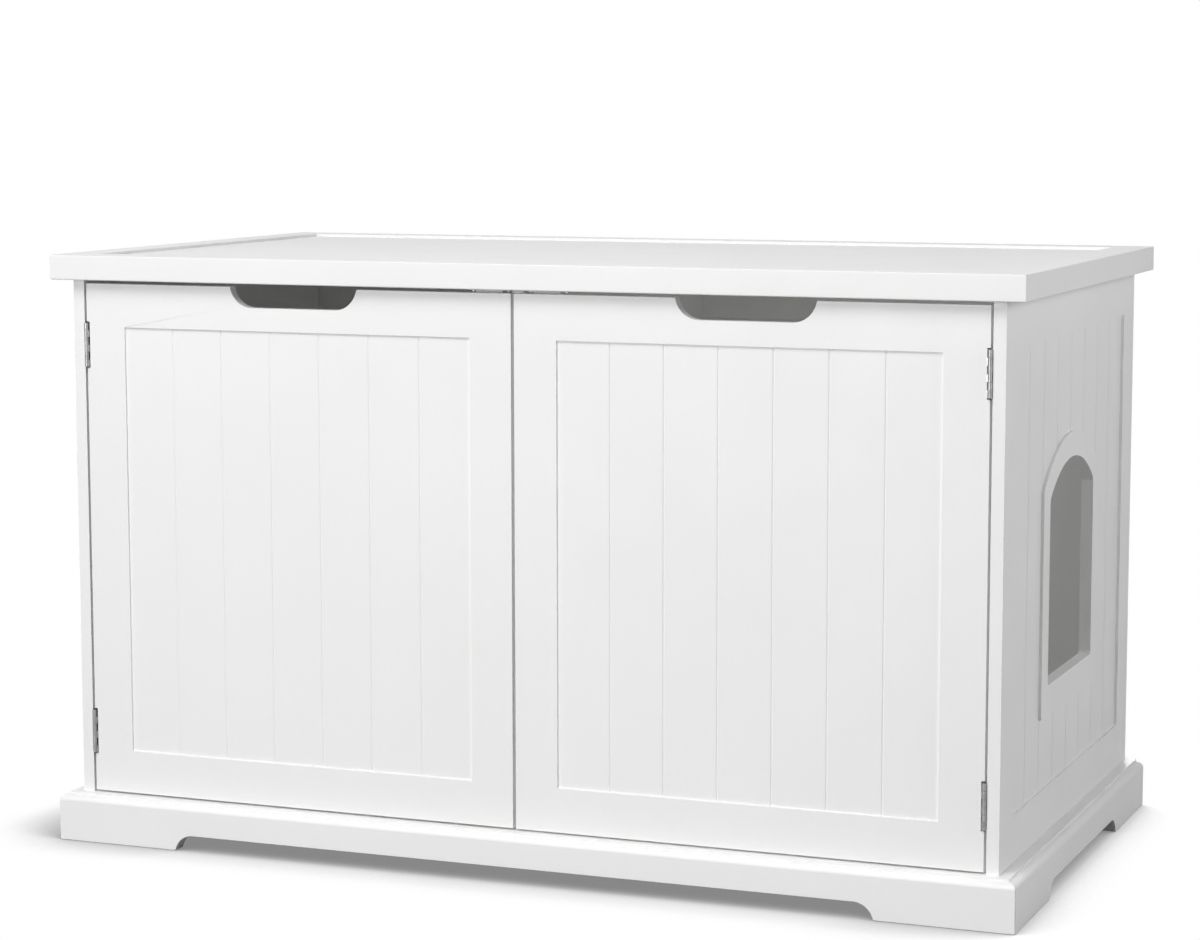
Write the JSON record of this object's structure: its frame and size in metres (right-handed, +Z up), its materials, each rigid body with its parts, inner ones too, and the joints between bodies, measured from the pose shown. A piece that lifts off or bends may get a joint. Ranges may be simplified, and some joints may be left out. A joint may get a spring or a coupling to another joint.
{
  "type": "cat litter box cabinet",
  "caption": "White cabinet on a moulded plinth that hides a cat litter tray: beadboard doors on butt hinges, an arched cat entry in one side and an inner divider with an arch.",
  "frame": {"origin": "on the floor, under the middle of the cabinet's overall width and depth", "axes": "+X to the right of someone who faces the doors, towards the side with the cat entry; +Y from the doors to the back; +Z up"},
  "size_m": [1, 0.558, 0.598],
  "materials": {
    "white_paint": "satin white paint on fibreboard",
    "inner_paint": "thin white paint on fibreboard, as on the inner boards",
    "back_board": "white faced hardboard",
    "bare_wood": "bare pine and beech",
    "hinge_steel": "satin nickel plated steel",
    "zinc_plate": "bright zinc plate",
    "white_plastic": "moulded white plastic"
  },
  "bodies": {
    "carcass": {"top_panel": "white_paint", "left_side_panel": "white_paint", "right_side_panel": "white_paint", "floor_panel": "inner_paint", "back_panel": "back_board", "back_top_rail": "inner_paint", "center_divider": "inner_paint", "front_plinth_rail": "white_paint", "left_plinth_rail": "white_paint", "right_plinth_rail": "white_paint", "back_plinth_rail": "white_paint", "corner_block_front_left": "bare_wood", "corner_block_front_right": "bare_wood", "corner_block_back_left": "bare_wood", "corner_block_back_right": "bare_wood", "center_bearer": "bare_wood", "left_upper_hinge_frame_leaf": "hinge_steel", "left_upper_hinge_pin": "hinge_steel", "left_lower_hinge_frame_leaf": "hinge_steel", "left_lower_hinge_pin": "hinge_steel", "right_upper_hinge_frame_leaf": "hinge_steel", "right_upper_hinge_pin": "hinge_steel", "right_lower_hinge_frame_leaf": "hinge_steel", "right_lower_hinge_pin": "hinge_steel", "left_magnetic_catch": "white_plastic", "right_magnetic_catch": "white_plastic", "cam_lock_front_left": "zinc_plate", "cam_lock_front_right": "zinc_plate", "cam_lock_back_left": "zinc_plate", "cam_lock_back_right": "zinc_plate", "cam_bolt_front_left": "zinc_plate", "cam_bolt_front_right": "zinc_plate", "cam_bolt_back_left": "zinc_plate", "cam_bolt_back_right": "zinc_plate", "top_dowel_front_left": "bare_wood", "top_dowel_front_right": "bare_wood", "top_dowel_back_left": "bare_wood", "top_dowel_back_right": "bare_wood", "floor_dowel_front_left": "bare_wood", "floor_dowel_front_right": "bare_wood", "floor_dowel_back_left": "bare_wood", "floor_dowel_back_right": "bare_wood", "divider_top_dowel_front": "bare_wood", "divider_top_dowel_back": "bare_wood", "divider_floor_dowel_front": "bare_wood", "divider_floor_dowel_back": "bare_wood"},
    "left_door": {"left_door": "white_paint", "left_upper_hinge_door_leaf": "hinge_steel", "left_lower_hinge_door_leaf": "hinge_steel", "left_strike_plate": "zinc_plate"},
    "right_door": {"right_door": "white_paint", "right_upper_hinge_door_leaf": "hinge_steel", "right_lower_hinge_door_leaf": "hinge_steel", "right_strike_plate": "zinc_plate"}
  },
  "joints": [
    {"name": "left_door_hinge", "type": "hinge", "parent": "carcass", "child": "left_door", "pos_m": [-0.4657, -0.264, 0.31], "axis": [0, 0, -1], "range_deg": [0, 178]},
    {"name": "right_door_hinge", "type": "hinge", "parent": "carcass", "child": "right_door", "pos_m": [0.4657, -0.264, 0.31], "axis": [0, 0, 1], "range_deg": [0, 178]}
  ]
}
